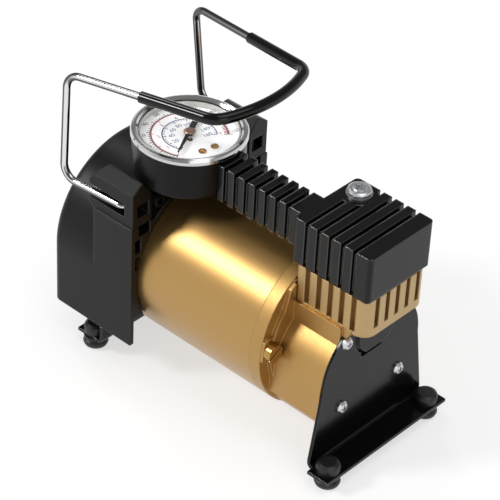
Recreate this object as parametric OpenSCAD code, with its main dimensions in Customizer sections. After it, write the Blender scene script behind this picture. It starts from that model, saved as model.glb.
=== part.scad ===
// Portable tyre inflator: a direct-drive motor with a single finned cylinder, pressure gauge and carry handle.
// Millimetres, +Z up, +X along the motor axis towards the pump. Parts are laid out with the head's centre at
// x = 0, then moved so that the origin lies under the middle of the whole inflator.

/* [Motor] */
// Height of the motor axis above the floor
axis_z = 47; // [46:0.5:50]
// Outer diameter of the motor can
can_d = 76; // [75:0.5:76]
// Wall of the motor can
can_wall = 1.6; // [1.2:0.1:2]
// Length of the motor can
can_len = 79; // [77:0.5:84]
// Thickness of the rear end bell
bell_t = 4; // [3:0.5:5]
// Diameter of the motor shaft
shaft_d = 8; // [6:0.5:8]
// Outer diameter of the shaft bearings
bearing_d = 22; // [20:1:24]
// Width of the shaft bearings
bearing_w = 7; // [5:0.5:7]
// Radial thickness of the field magnets
magnet_t = 6; // [4:0.5:7]
// Air gap between armature and magnets
air_gap = 0.8; // [0.5:0.1:1.2]
// Length of the armature's iron core
core_len = 36; // [30:1:40]
// Number of armature slots
slot_count = 10; // [8:1:12]
// Diameter of the commutator
commutator_d = 22; // [18:1:24]
// Diameter of the cooling fan
fan_d = 62; // [50:1:66]
// Number of fan blades
fan_blades = 9; // [7:1:11]

/* [Crankcase] */
// Thickness of the flange that closes the motor can
flange_t = 6; // [5:0.5:8]
// Length of the crankcase from its flange to the front bracket
case_len = 27.3; // [26.5:0.1:29]
// Radius of the crankcase barrel
barrel_r = 31; // [30:0.5:31.5]
// Height of the barrel's centre above the floor
barrel_z = 38; // [37:0.5:39]
// Height of the crankcase underside at its sides
barrel_bottom_z = 27.5; // [26:0.5:29]
// Wall of the crank chamber
case_wall = 3; // [2.5:0.5:4]
// Height of the deck that carries the cylinder
deck_z = 70.6; // [70:0.2:73]
// Sideways distance of the through bolts from the motor axis
through_bolt_y = 33.4; // [33.2:0.1:33.6]
// Height of the through bolts above the motor axis
through_bolt_dz = 4; // [3:0.5:5]
// Diameter of the through bolts' cheese heads
cheese_d = 8.2; // [7:0.1:8.2]

/* [Cylinder] */
// Length of the finned block
block_l = 38; // [37:0.5:38.5]
// Width of the finned block
block_w = 38.6; // [36:0.2:39]
// Height of the finned block
block_h = 18; // [16:0.5:22]
// Corner radius of the finned block
block_corner = 6.5; // [5:0.5:7]
// Spacing of the cooling fins
fin_pitch = 6.2; // [5.8:0.1:6.4]
// Width of the gaps between fins
fin_gap = 2.6; // [2:0.1:3]
// Depth of the gaps between fins
fin_depth = 3.2; // [2.4:0.2:3.4]
// Cylinder bore
bore_d = 18; // [16:0.2:18]
// Wall of the cylinder liner
liner_t = 1.5; // [1:0.1:1.8]
// Crank throw, which is half the piston stroke
crank_r = 8; // [7:0.2:8]
// Running clearance between piston and liner
piston_gap = 0.15; // [0.1:0.01:0.2]
// Height of the piston
piston_h = 13; // [12:0.5:14]
// Width of the connecting rod along the shaft
rod_w = 7; // [6:0.5:7]
// Diameter of the wrist pin
wrist_d = 5; // [4:0.5:5]

/* [Head] */
// Length of the cylinder head
head_l = 41.2; // [41:0.2:44]
// Width of the cylinder head
head_w = 39; // [39:0.5:41]
// Height of the cylinder head
head_h = 22; // [20:0.5:24]
// Thickness of the head gasket
gasket_t = 0.3; // [0.2:0.1:0.5]
// Spacing of the ribs on the head
rib_pitch = 6.3; // [6:0.1:6.4]
// Width of the grooves between the ribs
rib_gap = 2; // [1.6:0.1:2.4]
// Depth of the grooves on the top
rib_top_depth = 2.8; // [2:0.2:3.4]
// Depth of the grooves on the sides
rib_side_depth = 1.8; // [1:0.2:2]
// Width of the arm that carries the gauge
arm_w = 14.5; // [13:0.5:16]
// Height of the arm
arm_h = 17.6; // [15:0.2:19]
// Sideways place of the arm's centre line
arm_y = -8.6; // [-9.5:0.1:-8]
// Diameter of the air passage through the arm
passage_d = 4; // [3:0.5:5]

/* [Gauge] */
// Diameter of the gauge bezel
bezel_d = 50; // [48:0.5:52]
// Height of the bezel ring
bezel_h = 3.2; // [2.8:0.1:3.6]
// Depth of the gauge case below the bezel
gauge_case_h = 17.8; // [17:0.2:18.6]
// Height of the bezel top above the head
gauge_rise = 4.1; // [3:0.1:5]
// Length of the needle from hub to tip
needle_len = 16; // [13:0.5:17]

/* [Front bracket] */
// Thickness of the sheet steel brackets
sheet_t = 1.5; // [1.2:0.1:2]
// Distance from the head's centre to the back of the front bracket
bracket_x = 8.9; // [8.5:0.1:9.3]
// Width of the front bracket at its foot
bracket_w = 77.2; // [74:0.2:80]
// Radius of the front bracket's shoulders
shoulder_r = 30.2; // [29.6:0.1:30.6]
// Length of the bracket flange ahead of the plate
bracket_flange = 12.5; // [12.1:0.1:13.3]
// Sideways distance of the front feet from the centre line
front_foot_y = 31.7; // [30:0.1:32.2]
// Diameter of the bracket screw heads
pan_d = 5.8; // [5:0.1:6.2]

/* [Feet] */
// Diameter of the rubber feet
foot_d = 11.4; // [10:0.1:11.6]
// Height of a foot below the bracket flange
foot_h = 6.1; // [5.5:0.1:7.5]
// Height of a foot's button above the flange
button_h = 4.6; // [3.5:0.1:5]

/* [Rear shell] */
// Clearance between the motor can and the sides of the shell
shell_gap = 1.8; // [1.7:0.1:2.1]
// Distance of the arch's centre below the motor axis
arch_drop = 1.5; // [1.2:0.1:1.5]
// Length of the shell along the motor
shell_len = 48.3; // [47:0.5:52]
// Length of can that the shell laps over
shell_lap = 13.7; // [13:0.1:15]
// Wall of the shell
shell_wall = 2.2; // [2:0.1:2.5]
// Height of the shell's lower edge above the floor
shell_bottom_z = 15; // [12:0.5:18]
// Height of the shoulders beside the arch
shelf_z = 77; // [75:0.5:79]
// Length of the shoulders
shelf_len = 22.8; // [20:0.2:26]
// Length of a handle tower
tower_len = 26.2; // [24:0.2:28]
// Width of a handle tower
tower_w = 11.3; // [11:0.1:12.5]
// Height of a handle tower above its shoulder
tower_h = 21.5; // [20:0.5:24]
// Height of the channel through a tower
slot_h = 6.6; // [6:0.1:8]

/* [Handle] */
// Diameter of the handle wire
wire_d = 3.4; // [3:0.1:3.6]
// Diameter of the grip sleeve
grip_d = 5; // [4.8:0.1:5.6]
// Height of the handle's crosspiece above the pivots
handle_h = 58.9; // [56:0.5:70]
// Length of the handle ahead of its rear legs
handle_reach = 82.6; // [76:0.2:84]

/* [Hidden] */
$fn = 64;

gold = "#c9a768";
black = "#2c2a2b";
plastic = "#3a3738";
chrome = "#d9dbde";
steel = "#a9abad";
brass = "#b98a4a";
rubber = "#1f1e1f";

// Small allowances shared by the fits below
seat = 0.02; // face to face on one body
fit = 0.08; // running fit of a shaft, radial
loose = 0.3; // clearance round a bolt or between bodies
joint_lap = 0.25; // lap of a straight length into the bend beside it
cut = 1; // overshoot of a cutter

can_r = can_d / 2;
can_in = can_r - can_wall;
shaft_r = shaft_d / 2;
bearing_r = bearing_d / 2;
magnet_r = can_in - magnet_t;
core_r = magnet_r - air_gap;

// Stations along X, front to rear
plate_front_x = bracket_x + sheet_t;
flange_front_x = bracket_x - case_len;
step_t = 2;
step_x = flange_front_x + step_t;
seam_x = flange_front_x - flange_t;
can_rear_x = seam_x - can_len;
bell_rear_x = can_rear_x - bell_t;
rear_plate_x = bell_rear_x - sheet_t;
shell_front_x = can_rear_x + shell_lap;
shell_rear_x = shell_front_x - shell_len;
shelf_rear_x = shell_front_x - shelf_len;
tower_front_x = shell_front_x - 0.3;
tower_rear_x = tower_front_x - tower_len;

// Heights
ground_z = -1.5; // undersides of the feet
foot_sheet_z = ground_z + foot_h;
sheet_top_z = foot_sheet_z + sheet_t;
block_top_z = deck_z + block_h;
head_z = block_top_z + gasket_t;
head_top_z = head_z + head_h;
bracket_top_z = deck_z - 5;

// Cylinder and crank
bore_x = -3.4;
liner_r = bore_d / 2 + liner_t;
deck_hole_r = bore_d / 2 + 0.1;
valve_r = bore_d / 2 + 1.2;
piston_r = bore_d / 2 - piston_gap;
piston_top_z = block_top_z - 0.8;
wrist_z = piston_top_z - 8;
rod_len = wrist_z - axis_z - crank_r;
rod_rear_x = bore_x - rod_w / 2;
disc_t = 3.2;
disc_x = bore_x - bore_d / 2 - 0.4 - disc_t;
disc_r = 14;
crank_pin_r = 3;
pin_gap = 0.4;
chamber_x = step_x;
block_x = head_l / 2 - block_l;

// Gauge
arm_base_z = head_top_z - arm_h;
gauge_r = bezel_d / 2 - 0.7;
gauge_x = -89.5;
gauge_y = arm_y;
gauge_top_z = head_top_z + gauge_rise;
gauge_base_z = gauge_top_z - bezel_h - gauge_case_h;
arm_end_x = gauge_x + gauge_r;
arm_len = -head_l / 2 - arm_end_x;
passage_z = head_top_z - 9;
needle_angle = -63.3;

// Shell and handle
mouth_gap = 0.5; // between the motor can and the shell's mouth, radial
shell_r = can_r + shell_gap + shell_wall;
shell_w = 2 * shell_r;
arch_z = axis_z - arch_drop;
tower_out_y = shell_r - 0.7;
tower_in_y = tower_out_y - tower_w;
tower_top_z = shelf_z + tower_h;
channel_out_y = tower_out_y - 2.9;
channel_in_y = tower_in_y + 1.8;
channel_z = shelf_z + 4.6;
pivot_x = tower_front_x - 7;
pivot_z = channel_z + slot_h / 2;
wire_r = wire_d / 2;
lower_y = tower_out_y - wire_r - 0.2;
leg_x = pivot_x - 33.5;
leg_low_y = lower_y + 2.9;
leg_rise = 0.1;
leg_top_x = leg_x - 1.8;
leg_top_z = pivot_z + handle_h - 9.4;
leg_top_y = lower_y - 1.1;
cross_slope = 0.104;
cross_y = 27.2;
front_corner_x = leg_x + handle_reach - 10.2;
bow_rise = 10.4;
bow_r = 58;

// The rear bracket and its feet
rear_bracket_w = bracket_w + 6;
rear_foot_y = front_foot_y + 5.5;
front_foot_x = plate_front_x + 6.8;
rear_flange = bracket_flange + 1.1;
rear_foot_x = rear_plate_x - 6.8;

// Rear face: switch and cord gland
switch_w = 13;
switch_h = 19;
switch_z = 55;
gland_z = 30;
gland_out = 4.5;

front_x = plate_front_x + bracket_flange;
origin_x = (front_x + shell_rear_x - gland_out) / 2;

// ---------- helpers ----------

// Carries a drawing in the YZ plane along X, from x by len
module along_x(x, len) {
    translate([x, 0, 0])
        rotate([90, 0, 90])
            linear_extrude(len)
                children();
}

// Carries a drawing in the XZ plane along Y, centred on y = 0
module along_y(len) {
    rotate([90, 0, 0])
        linear_extrude(len, center = true)
            children();
}

// A round bar along X from x by len, at (y, z)
module bar_x(x, len, r, y = 0, z = 0) {
    translate([x, y, z])
        rotate([0, 90, 0])
            cylinder(r = r, h = len);
}

module both_sides() {
    children();
    mirror([0, 1, 0])
        children();
}

module rounded_square(w, h, r) {
    for (turn = [0, 1])
        square(turn == 0 ? [w - 2 * r, h] : [w, h - 2 * r], center = true);
    for (sx = [-1, 1], sy = [-1, 1])
        translate([sx * (w / 2 - r), sy * (h / 2 - r)])
            circle(r);
}

function unit(v) = v / norm(v);

// Turns z into direction d, then moves to p
module aim(p, d) {
    translate(p)
        rotate([0, acos(d.z / norm(d)), atan2(d.y, d.x)])
            children();
}

// Round rod that follows a polyline, with a bend radius at each inner corner
function turn_at(pts, i) = acos(unit(pts[i] - pts[i - 1]) * unit(pts[i + 1] - pts[i]));
function setback(pts, bends, i) = (i == 0 || i == len(pts) - 1) ? 0 : bends[i] * tan(turn_at(pts, i) / 2);

module bent_rod(pts, bends, r) {
    for (i = [0 : len(pts) - 2]) {
        d = unit(pts[i + 1] - pts[i]);
        from = pts[i] + d * setback(pts, bends, i);
        to = pts[i + 1] - d * setback(pts, bends, i + 1);
        aim(from - d * joint_lap, d)
            cylinder(r = r - 0.012, h = norm(to - from) + 2 * joint_lap, $fn = 24);
    }
    for (i = [1 : len(pts) - 2]) {
        a = unit(pts[i] - pts[i - 1]);
        b = unit(pts[i + 1] - pts[i]);
        n = unit(cross(a, b));
        inward = cross(n, a);
        start = pts[i] - a * setback(pts, bends, i);
        centre = start + inward * bends[i];
        multmatrix([
            [-inward.x, a.x, n.x, centre.x],
            [-inward.y, a.y, n.y, centre.y],
            [-inward.z, a.z, n.z, centre.z],
            [0, 0, 0, 1]])
            rotate_extrude(angle = turn_at(pts, i), $fn = bends[i] > 20 ? 120 : 36)
                translate([bends[i], 0])
                    circle(r, $fn = 24);
    }
}

module ring(r, bore) {
    difference() {
        circle(r, $fn = 32);
        if (bore > 0)
            circle(bore, $fn = 32);
    }
}

// ---------- crankcase ----------

module barrel_profile(inset = 0) {
    low_z = barrel_bottom_z + inset;
    r = barrel_r - inset;
    bevel = 8;
    translate([0, barrel_z])
        circle(r);
    polygon([[-r, barrel_z], [-r, low_z], [-r + bevel, low_z - bevel], [r - bevel, low_z - bevel],
        [r, low_z], [r, barrel_z]]);
}

// A little wider than the cylinder, to take the upper bracket screws
module pillar_profile() {
    w = max(block_w / 2 + 1.3, bracket_screw_y + screw_r + 1);
    translate([-w, barrel_z])
        square([2 * w, deck_z - barrel_z]);
}

// The raised face on the flange: round below, drawn in to the width of the cylinder above
module step_profile() {
    intersection() {
        translate([0, axis_z])
            circle(can_r - 0.6);
        union() {
            translate([0, axis_z])
                circle(can_r - 5);
            polygon([[-can_r + 5, axis_z], [-block_w / 2 - 2.4, deck_z + 9], [block_w / 2 + 2.4, deck_z + 9],
                [can_r - 5, axis_z]]);
        }
    }
}

bracket_screw_y = 18;
bracket_screw_zs = [deck_z - 8, barrel_bottom_z + 0.8];

module bracket_screw_places() {
    for (side = [-1, 1], z = bracket_screw_zs)
        translate([0, side * bracket_screw_y, z])
            children();
}

module through_bolt_places() {
    for (side = [-1, 1])
        translate([0, side * through_bolt_y, axis_z + through_bolt_dz])
            children();
}

screw_r = 1.6;
screw_len = 11;
lug_t = 1.4;

bolt_grip = 7;

// Section of the crank chamber, with the bosses for the bracket screws left standing
module chamber_profile() {
    difference() {
        union() {
            barrel_profile(case_wall);
            translate([-liner_r - 0.6, axis_z])
                square([2 * liner_r + 1.2, deck_z - axis_z - case_wall]);
        }
        for (side = [-1, 1], z = bracket_screw_zs)
            translate([side * bracket_screw_y, z])
                circle(screw_r + 2);
        for (side = [-1, 1])
            translate([side * bracket_screw_y, barrel_bottom_z - 8])
                square([2 * screw_r + 4, 17], center = true);
        for (side = [-1, 1])
            translate([side * 21, deck_z - 4])
                square([2 * screw_r + 8, 13], center = true);
    }
}

module crankcase() {
    color(gold)
    difference() {
        union() {
            bar_x(seam_x, flange_t, can_r, 0, axis_z);
            along_x(flange_front_x, step_t)
                step_profile();
            along_x(flange_front_x, case_len)
                barrel_profile();
            along_x(flange_front_x, case_len)
                pillar_profile();
            intersection() {
                through_bolt_places()
                    bar_x(flange_front_x, lug_t, cheese_d / 2 + 1.9);
                bar_x(flange_front_x - cut, lug_t + 2 * cut, can_r - 0.3, 0, axis_z);
            }
            // Gusset under the overhang of the cylinder, clear of the bracket's top edge
            along_y(block_w)
                polygon([[bracket_x - 1, bracket_top_z + 0.3], [bracket_x + 2.3, bracket_top_z + 0.3],
                    [bracket_x + 4.7, deck_z], [bracket_x - 1, deck_z]]);
        }
        // Room for the rear of the cylinder block in the raised face
        translate([block_x - loose, -block_w / 2 - loose, deck_z])
            cube([10, block_w + 2 * loose, 20]);
        // Spot faces under the heads of the through bolts
        through_bolt_places()
            bar_x(flange_front_x + lug_t, 6, cheese_d / 2 + 0.15);
        // Crank chamber, open at the front and under the cylinder
        difference() {
            along_x(chamber_x, case_len)
                chamber_profile();
            // Boss for the head bolt
            translate([head_bolt_x, head_bolt_y, deck_z - bolt_grip - 1.5])
                cylinder(r = bolt_column_r, h = bolt_grip + 2);
        }
        // Way through the deck for the piston
        translate([bore_x, 0, axis_z + disc_r + 1])
            cylinder(r = deck_hole_r, h = deck_z);
        // Front bearing seat and shaft hole
        bar_x(seam_x - cut, bearing_w + cut + 0.3, bearing_r + seat, 0, axis_z);
        bar_x(seam_x - cut, flange_t + step_t + 2 * cut, shaft_r + 1.5, 0, axis_z);
        bracket_screw_places()
            bar_x(bracket_x - screw_len, screw_len + cut, screw_r + seat);
        through_bolt_places()
            bar_x(seam_x - cut, flange_t + lug_t + 2 * cut, 2 + seat);
        // Head bolt thread
        translate([head_bolt_x, head_bolt_y, deck_z - bolt_grip])
            cylinder(r = head_bolt_r + seat, h = bolt_grip + cut);
    }
}

// ---------- cylinder ----------

head_bolt_x = block_x + 4.8;
head_bolt_y = 11.4;
head_bolt_r = 2.5;
bolt_column_r = 4.4;
fin_mid_x = block_x + block_l / 2 - 0.5;
base_band = 0.8;
skirt_drop = 0.8;

// Large corners at the front, small ones at the rear
module block_footprint(inset = 0) {
    translate([block_x + block_l / 2, 0])
        rounded_square(block_l - 2 * inset, block_w - 2 * inset, block_corner - inset);
    translate([block_x + block_l * 0.35, 0])
        rounded_square(block_l * 0.7 - 2 * inset, block_w - 2 * inset, max(1.6 - inset, 0.4));
}

module cylinder_block() {
    fin_h = block_h - base_band;
    rear_depth = 1.6;
    color(gold)
    difference() {
        union() {
            difference() {
                translate([0, 0, deck_z])
                    linear_extrude(block_h)
                        block_footprint();
                // Gaps between the fins on the long sides
                for (i = [-2 : 2], side = [-1, 1])
                    translate([fin_mid_x + i * fin_pitch, side * block_w / 2, deck_z + base_band])
                        translate([-fin_gap / 2, -fin_depth, 0])
                            cube([fin_gap, 2 * fin_depth, fin_h]);
                // Gaps between the fins on the front, and shallow ones on the rear beside the liner
                for (i = [-2 : 2], end = [0, 1]) {
                    deep = end == 0 ? rear_depth : fin_depth;
                    translate([block_x + end * block_l, i * (fin_pitch + 0.1), deck_z + base_band + 2.4])
                        translate([-deep, -fin_gap / 2, 0])
                            cube([2 * deep, fin_gap, fin_h]);
                }
            }
            // Skirt of the overhang, in front of the gusset
            translate([0, 0, deck_z - skirt_drop])
                linear_extrude(skirt_drop + cut)
                    intersection() {
                        block_footprint();
                        translate([bracket_x + 5, -block_w])
                            square([block_l, 2 * block_w]);
                    }
            // Column round the head bolt
            translate([head_bolt_x, head_bolt_y, deck_z])
                cylinder(r = bolt_column_r, h = block_h);
        }
        translate([bore_x, 0, deck_z - cut])
            cylinder(r = liner_r + seat, h = block_h + 2 * cut);
        translate([head_bolt_x, head_bolt_y, deck_z - cut])
            cylinder(r = head_bolt_r + loose, h = block_h + 2 * cut);
    }
}

module cylinder_liner() {
    color(steel)
    difference() {
        translate([bore_x, 0, deck_z])
            cylinder(r = liner_r, h = block_h);
        translate([bore_x, 0, deck_z - cut])
            cylinder(d = bore_d, h = block_h + 2 * cut);
    }
}

// ---------- piston and crank ----------

rod_slot = rod_w + 1;
seal_h = 2.4;
seal_depth = 1.6;

module piston() {
    color(steel)
    difference() {
        translate([bore_x, 0, piston_top_z - piston_h])
            cylinder(r = piston_r, h = piston_h);
        // Hollow skirt
        translate([bore_x - rod_slot / 2, -piston_r + 2.2, piston_top_z - piston_h - cut])
            cube([rod_slot, 2 * piston_r - 4.4, piston_h - 3.4 + cut]);
        // Wrist pin hole
        bar_x(bore_x - piston_r - cut, 2 * piston_r + 2 * cut, wrist_d / 2 + seat, 0, wrist_z);
        // Seal groove
        translate([bore_x, 0, piston_top_z - 1.2 - seal_h])
            difference() {
                cylinder(r = piston_r + cut, h = seal_h);
                cylinder(r = piston_r - seal_depth, h = seal_h);
            }
    }
}

module piston_seal() {
    color("#e9e6dd")
    translate([bore_x, 0, piston_top_z - 1.2 - seal_h + seat])
        difference() {
            cylinder(r = piston_r + 0.05, h = seal_h - 2 * seat);
            cylinder(r = piston_r - seal_depth + seat, h = seal_h);
        }
}

module wrist_pin() {
    color(chrome)
    bar_x(bore_x - piston_r + 1.2, 2 * piston_r - 2.4, wrist_d / 2, 0, wrist_z);
}

module connecting_rod() {
    small_r = wrist_d / 2 + 1.8;
    big_r = crank_pin_r + 3.2;
    big_z = wrist_z - rod_len;
    color(steel)
    difference() {
        union() {
            bar_x(rod_rear_x, rod_w, small_r, 0, wrist_z);
            bar_x(rod_rear_x, rod_w, big_r, 0, big_z);
            // Tapered shank with a web down its middle
            along_x(rod_rear_x + rod_w * 0.2, rod_w * 0.6)
                polygon([[-3, wrist_z], [3, wrist_z], [4.4, big_z], [-4.4, big_z]]);
        }
        bar_x(rod_rear_x - cut, rod_w + 2 * cut, wrist_d / 2 + fit, 0, wrist_z);
        bar_x(rod_rear_x - cut, rod_w + 2 * cut, crank_pin_r + fit, 0, big_z);
        for (x = [rod_rear_x, rod_rear_x + rod_w * 0.65])
            along_x(x, rod_w * 0.35)
                polygon([[-1.4, wrist_z - small_r - 0.8], [1.4, wrist_z - small_r - 0.8],
                    [2, big_z + big_r + 0.8], [-2, big_z + big_r + 0.8]]);
    }
}

module crank_disc() {
    pin_end_x = rod_rear_x - pin_gap;
    color(steel)
    difference() {
        union() {
            bar_x(disc_x, disc_t, disc_r, 0, axis_z);
            // Counterweight opposite the crank pin
            along_x(disc_x, disc_t)
                intersection() {
                    translate([0, axis_z])
                        circle(disc_r + 1.5);
                    translate([-disc_r - 2, axis_z - disc_r - 2])
                        square([2 * disc_r + 4, disc_r - 2]);
                }
            bar_x(disc_x, pin_end_x - disc_x, crank_pin_r, 0, axis_z + crank_r);
        }
        bar_x(disc_x - cut, disc_t + 2 * cut, shaft_r + seat, 0, axis_z);
        for (side = [-1, 1])
            bar_x(disc_x - cut, disc_t + 2 * cut, 2, side * 8, axis_z + 3);
    }
}

// ---------- head ----------

module head_gasket() {
    color("#4a4038")
    difference() {
        translate([0, 0, block_top_z])
            linear_extrude(gasket_t) {
                block_footprint(fin_depth);
                translate([head_bolt_x, head_bolt_y])
                    circle(bolt_column_r);
            }
        translate([bore_x, 0, block_top_z - cut])
            cylinder(d = bore_d, h = 3 * cut);
        translate([head_bolt_x, head_bolt_y, block_top_z - cut])
            cylinder(r = head_bolt_r + loose, h = 3 * cut);
    }
}

valve_t = 1.2;
port_r = 1.6;

module valve_plate() {
    color(chrome)
    difference() {
        translate([bore_x, 0, head_z])
            cylinder(r = valve_r, h = valve_t);
        for (side = [-1, 1])
            translate([bore_x, side * 5, head_z - cut])
                cylinder(r = port_r, h = 3 * cut);
    }
}

module reed_valve() {
    reed_t = 0.3;
    color(steel)
    difference() {
        translate([bore_x - 2, -7, head_z + valve_t])
            cube([4, 14.4, reed_t]);
        translate([bore_x, 6, head_z])
            cylinder(r = 0.8, h = 3 * cut);
    }
}

// One groove that runs over the top and down both long sides of the head or the arm
module rib_groove(x, y0, y1, base, top, side_deep, top_deep, gap = rib_gap) {
    r = gap / 2;
    translate([x - r, y0 - cut, top - top_deep + r])
        cube([gap, y1 - y0 + 2 * cut, top_deep + cut]);
    translate([x, y0 - cut, top - top_deep + r])
        rotate([-90, 0, 0])
            cylinder(r = r, h = y1 - y0 + 2 * cut, $fn = 24);
    for (y = [y0, y1])
        translate([x - r, y - side_deep, base - cut])
            cube([gap, 2 * side_deep, top - base + 2 * cut]);
}

module cylinder_head() {
    w = head_w / 2;
    flat_back = 7.2;
    color(black)
    difference() {
        union() {
            difference() {
                translate([0, 0, head_z])
                    linear_extrude(head_h)
                        rounded_square(head_l, head_w, 2);
                for (i = [0 : 4])
                    rib_groove(-head_l / 2 + flat_back + i * rib_pitch, -w, w, head_z, head_top_z,
                        rib_side_depth, rib_top_depth);
            }
            difference() {
                translate([arm_end_x - 3, arm_y - arm_w / 2, arm_base_z])
                    cube([arm_len + 3 + 2, arm_w, arm_h]);
                for (i = [0 : 6])
                    rib_groove(-head_l / 2 - 6.6 - i * 5.75, arm_y - arm_w / 2, arm_y + arm_w / 2,
                        arm_base_z, head_top_z, rib_side_depth, rib_top_depth, 2.3);
            }
            // Round pad under the head bolt, flush with the ribs
            intersection() {
                translate([head_bolt_x, head_bolt_y, head_z])
                    cylinder(r = pad_r, h = head_h);
                translate([0, 0, head_z])
                    linear_extrude(head_h)
                        rounded_square(head_l, head_w, 2);
            }
        }
        translate([head_bolt_x, head_bolt_y, head_z - cut])
            cylinder(r = head_bolt_r + loose, h = head_h + 2 * cut);
        // The arm is scooped to fit round the gauge case
        translate([gauge_x, gauge_y, gauge_base_z - 2])
            cylinder(r = gauge_r + seat, h = 40);
        // Seat for the valve plate, the outlet chamber above it and the passage to the gauge
        translate([bore_x, 0, head_z - cut])
            cylinder(r = valve_r + 0.1, h = valve_t + cut + seat);
        translate([bore_x, 0, head_z])
            cylinder(r = valve_r - 1.6, h = 10);
        bar_x(arm_end_x - cut, -arm_end_x + cut, passage_d / 2, arm_y, passage_z);
        translate([bore_x - 2, arm_y - 2, head_z + 5])
            cube([4, 4, passage_z - head_z - 5]);
    }
}

pad_r = 8.2;
washer_t = 0.8;

module head_washer() {
    color(chrome)
    translate([head_bolt_x, head_bolt_y, head_top_z])
        difference() {
            cylinder(r = 5.6, h = washer_t);
            translate([0, 0, -cut])
                cylinder(r = head_bolt_r + loose, h = 3 * cut);
        }
}

module head_bolt() {
    top = head_top_z + washer_t;
    color(chrome)
    translate([head_bolt_x, head_bolt_y, 0])
        difference() {
            union() {
                translate([0, 0, top])
                    rotate_extrude()
                        polygon([[0, 0], [3.8, 0], [3.8, 0.8], [5, 0.8], [5.2, 1.2], [5, 1.7], [4.2, 2.1],
                            [3, 2], [2.6, 2.4], [0, 2.6]]);
                translate([0, 0, deck_z - bolt_grip + 0.5])
                    cylinder(r = head_bolt_r, h = top - deck_z + bolt_grip - 0.5 + seat);
            }
            // Cross recess
            for (a = [0, 90])
                rotate([0, 0, a])
                    translate([-2.2, -0.45, top + 1.2])
                        cube([4.4, 0.9, 3]);
        }
}

// ---------- gauge ----------

module at_gauge(z = 0) {
    translate([gauge_x, gauge_y, z])
        children();
}

case_wall_g = 1.5;

module gauge_case() {
    h = gauge_case_h;
    r = gauge_r;
    color(black)
    difference() {
        at_gauge(gauge_base_z)
            rotate_extrude()
                difference() {
                    union() {
                        translate([0, 2])
                            square([r, h - 2]);
                        square([r - 2, h]);
                        translate([r - 2, 2])
                            circle(2, $fn = 32);
                        // Spigot inside the bezel, which carries the lens
                        square([r - 1.2, lens_z - gauge_base_z]);
                    }
                    translate([0, case_wall_g])
                        square([r - case_wall_g - 1.2, h + bezel_h]);
                    translate([-5, -cut])
                        square([5, h + bezel_h + cut]);
                }
        // Hole for the stem that comes in from the arm
        bar_x(arm_end_x - 5, 10, 3.5, gauge_y, passage_z);
    }
    // Boss under the middle of the case
    color(black)
    difference() {
        at_gauge(gauge_base_z - boss_h)
            cylinder(r = 9, h = boss_h);
        at_gauge(gauge_base_z - boss_h - cut)
            cylinder(r = 6, h = boss_h + cut - seat);
    }
}

boss_h = gauge_base_z - arch_z - shell_r - 0.3;

module gauge_bezel() {
    r = bezel_d / 2;
    h = bezel_h;
    color(chrome)
    at_gauge(gauge_top_z - bezel_h)
        rotate_extrude()
            polygon([[gauge_r - 1.2 + seat, 0], [r - 0.5, 0], [r, 0.5], [r, h - 1.3], [r - 0.5, h - 0.4],
                [r - 1.5, h], [r - 2.4, h - 0.3], [r - 3.2, h - 1.2], [gauge_r - 1.2 + seat, h - 1.2]]);
}

lens_t = 0.7;
lens_z = gauge_top_z - 1.2 - lens_t;

module gauge_lens() {
    color("#dfe8ee", 0.35)
    at_gauge(lens_z)
        cylinder(r = gauge_r - 1.3, h = lens_t - seat);
}

// Light ring that holds the dial down under the lens
module gauge_ring() {
    color("#e8e8e4")
    at_gauge(dial_low_z + dial_t)
        difference() {
            cylinder(r = dial_r, h = lens_z - dial_low_z - dial_t - seat);
            translate([0, 0, -cut])
                cylinder(r = dial_r - 0.6, h = 10);
        }
}

dial_t = 0.6;
dial_r = gauge_r - case_wall_g - 1.4;
dial_low_z = gauge_top_z - 5;

module gauge_dial() {
    color("#f4f4f1")
    difference() {
        at_gauge(dial_low_z)
            cylinder(r = dial_r, h = dial_t);
        at_gauge(dial_low_z - cut)
            cylinder(r = 1.4, h = 3 * cut);
        for (p = dial_screw_places)
            at_gauge(dial_low_z - cut)
                translate(p)
                    cylinder(r = 0.8, h = 3 * cut);
    }
}

dial_screw_places = [[13.4, 1.2, 0], [12.3, -5, 0]];

module dial_screws() {
    color(brass)
    for (p = dial_screw_places)
        at_gauge(dial_low_z - 3)
            translate(p)
                difference() {
                    union() {
                        cylinder(r = 0.75, h = 3 + dial_t);
                        translate([0, 0, 3 + dial_t])
                            cylinder(r = 1.7, h = 0.5);
                    }
                    translate([-2, -0.25, 3 + dial_t + 0.25])
                        cube([4, 0.5, 1]);
                }
}

needle_z = dial_low_z + dial_t + 1.4;

module gauge_needle() {
    color("#141414")
    at_gauge(needle_z)
        rotate([0, 0, needle_angle])
            difference() {
                union() {
                    linear_extrude(0.4)
                        polygon([[needle_len, -0.25], [needle_len, 0.25], [0, 1.1], [-7.6, 1.4],
                            [-7.6, -1.4], [0, -1.1]]);
                    cylinder(r = 2.2, h = 0.4);
                }
                translate([0, 0, -cut])
                    cylinder(r = 0.6 + seat, h = 3 * cut);
            }
}

module needle_hub() {
    color(brass)
    at_gauge() {
        translate([0, 0, needle_z + 0.4])
            cylinder(r1 = 2.6, r2 = 2.2, h = 0.4);
        translate([0, 0, dial_low_z - 5])
            cylinder(r = 0.6, h = needle_z - dial_low_z + 5.4);
    }
}

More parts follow.
